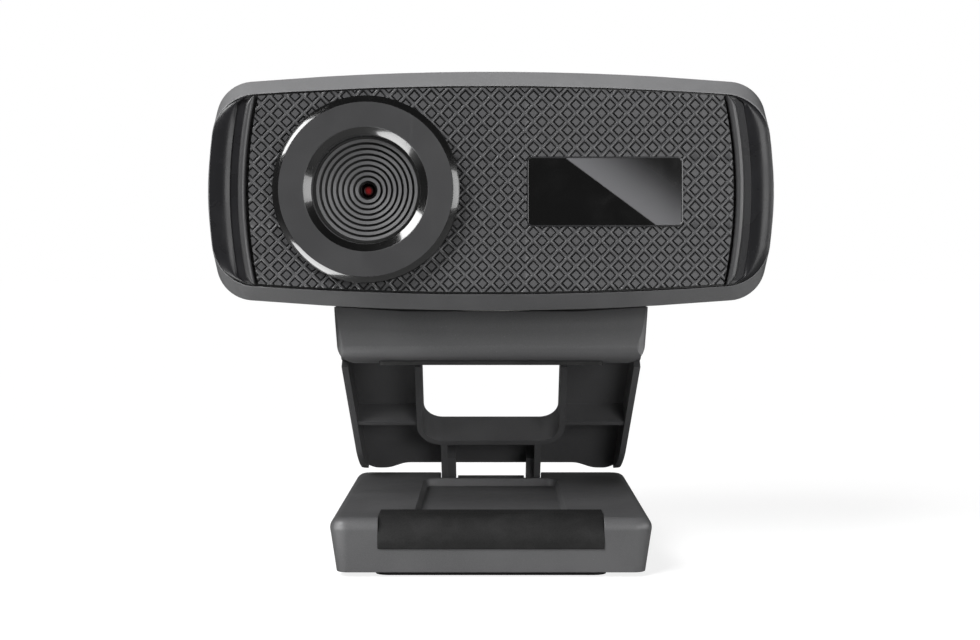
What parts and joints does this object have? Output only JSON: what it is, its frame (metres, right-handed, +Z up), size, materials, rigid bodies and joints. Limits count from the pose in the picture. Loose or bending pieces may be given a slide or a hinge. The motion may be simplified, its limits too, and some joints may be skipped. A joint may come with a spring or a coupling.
{
  "type": "webcam",
  "caption": "Bar-shaped webcam head with a turning focus ring, on a swivel post over a folding clip stand with a windowed leg and a flat rubber-soled foot.",
  "frame": {"origin": "middle of the sole pad, on the surface that the foot stands on", "axes": "+Z up, the lens looks along -Y, +X runs along the head to the badge"},
  "size_m": [0.083, 0.0634, 0.074],
  "materials": {
    "stand_plastic": "satin",
    "soft_rubber": "matt",
    "steel": "plain",
    "nylon": "satin",
    "housing_plastic": "fine grain",
    "surround_plastic": "satin",
    "panel_plastic": "diamond relief",
    "gloss_plastic_black": "gloss",
    "badge_gloss": "gloss",
    "circuit_board": "solder mask",
    "sensor_glass": "gloss",
    "black_moulding": "matt",
    "filter_glass": "clear",
    "chip_package": "matt",
    "crystal_can": "satin",
    "header_plastic": "matt",
    "ring_satin": "satin",
    "baffle_plastic": "satin",
    "lens_glass": "coated"
  },
  "bodies": {
    "foot": {"foot_shell": "stand_plastic", "foot_cover": "stand_plastic", "foot_front_pad": "soft_rubber", "foot_base_pad": "soft_rubber", "foot_screws": "steel", "foot_hinge_pin": "steel"},
    "leg": {"leg_frame": "stand_plastic", "jaw_hinge_pin": "steel"},
    "jaw": {"jaw_shell": "stand_plastic", "jaw_cover": "stand_plastic", "jaw_pad": "soft_rubber", "jaw_screws": "steel", "swivel_post": "steel", "friction_disc": "nylon", "spring_washer": "steel", "swivel_screw": "steel"},
    "head": {"rear_housing": "housing_plastic", "surround": "surround_plastic", "front_panel": "panel_plastic", "left_end_cap": "gloss_plastic_black", "right_end_cap": "gloss_plastic_black", "badge_plate": "badge_gloss", "housing_screws": "steel", "cable_grommet": "soft_rubber", "main_board": "circuit_board", "board_screws": "steel", "image_sensor": "sensor_glass", "lens_holder": "black_moulding", "holder_screws": "steel", "infrared_filter": "filter_glass", "video_controller": "chip_package", "memory_chip": "chip_package", "clock_crystal": "crystal_can", "cable_header": "header_plastic", "microphone": "crystal_can", "microphone_boot": "soft_rubber"},
    "focus": {"focus_ring": "ring_satin", "lens_baffle": "baffle_plastic", "ring_retainer": "black_moulding"},
    "lens": {"lens_barrel": "black_moulding", "front_lens": "lens_glass", "middle_lens": "lens_glass", "lens_spacer": "black_moulding", "rear_lens": "lens_glass", "barrel_ring": "black_moulding"}
  },
  "joints": [
    {"name": "leg_hinge", "type": "hinge", "parent": "foot", "child": "leg", "pos_m": [0, 0.026, 0.0055], "axis": [1, 0, 0], "range_deg": [-30, 5]},
    {"name": "jaw_hinge", "type": "hinge", "parent": "leg", "child": "jaw", "pos_m": [0, 0.00445, 0.03308], "axis": [-1, 0, 0], "range_deg": [-40, 35]},
    {"name": "head_pan", "type": "hinge", "parent": "jaw", "child": "head", "pos_m": [0, -0.0115, 0.03858], "axis": [0, 0, 1], "range_deg": [-180, 180]},
    {"name": "focus_turn", "type": "hinge", "parent": "head", "child": "focus", "pos_m": [-0.01785, -0.0345, 0.05648], "axis": [0, -1, 0], "range_deg": [-135, 135]},
    {"name": "lens_slide", "type": "slide", "parent": "focus", "child": "lens", "axis": [0, -1, 0], "range_m": [-0.00019, 0.00019]}
  ],
  "couplings": [
    {"joint": "lens_slide", "follows": "focus_turn", "m_per_rad": 0.000079577}
  ]
}
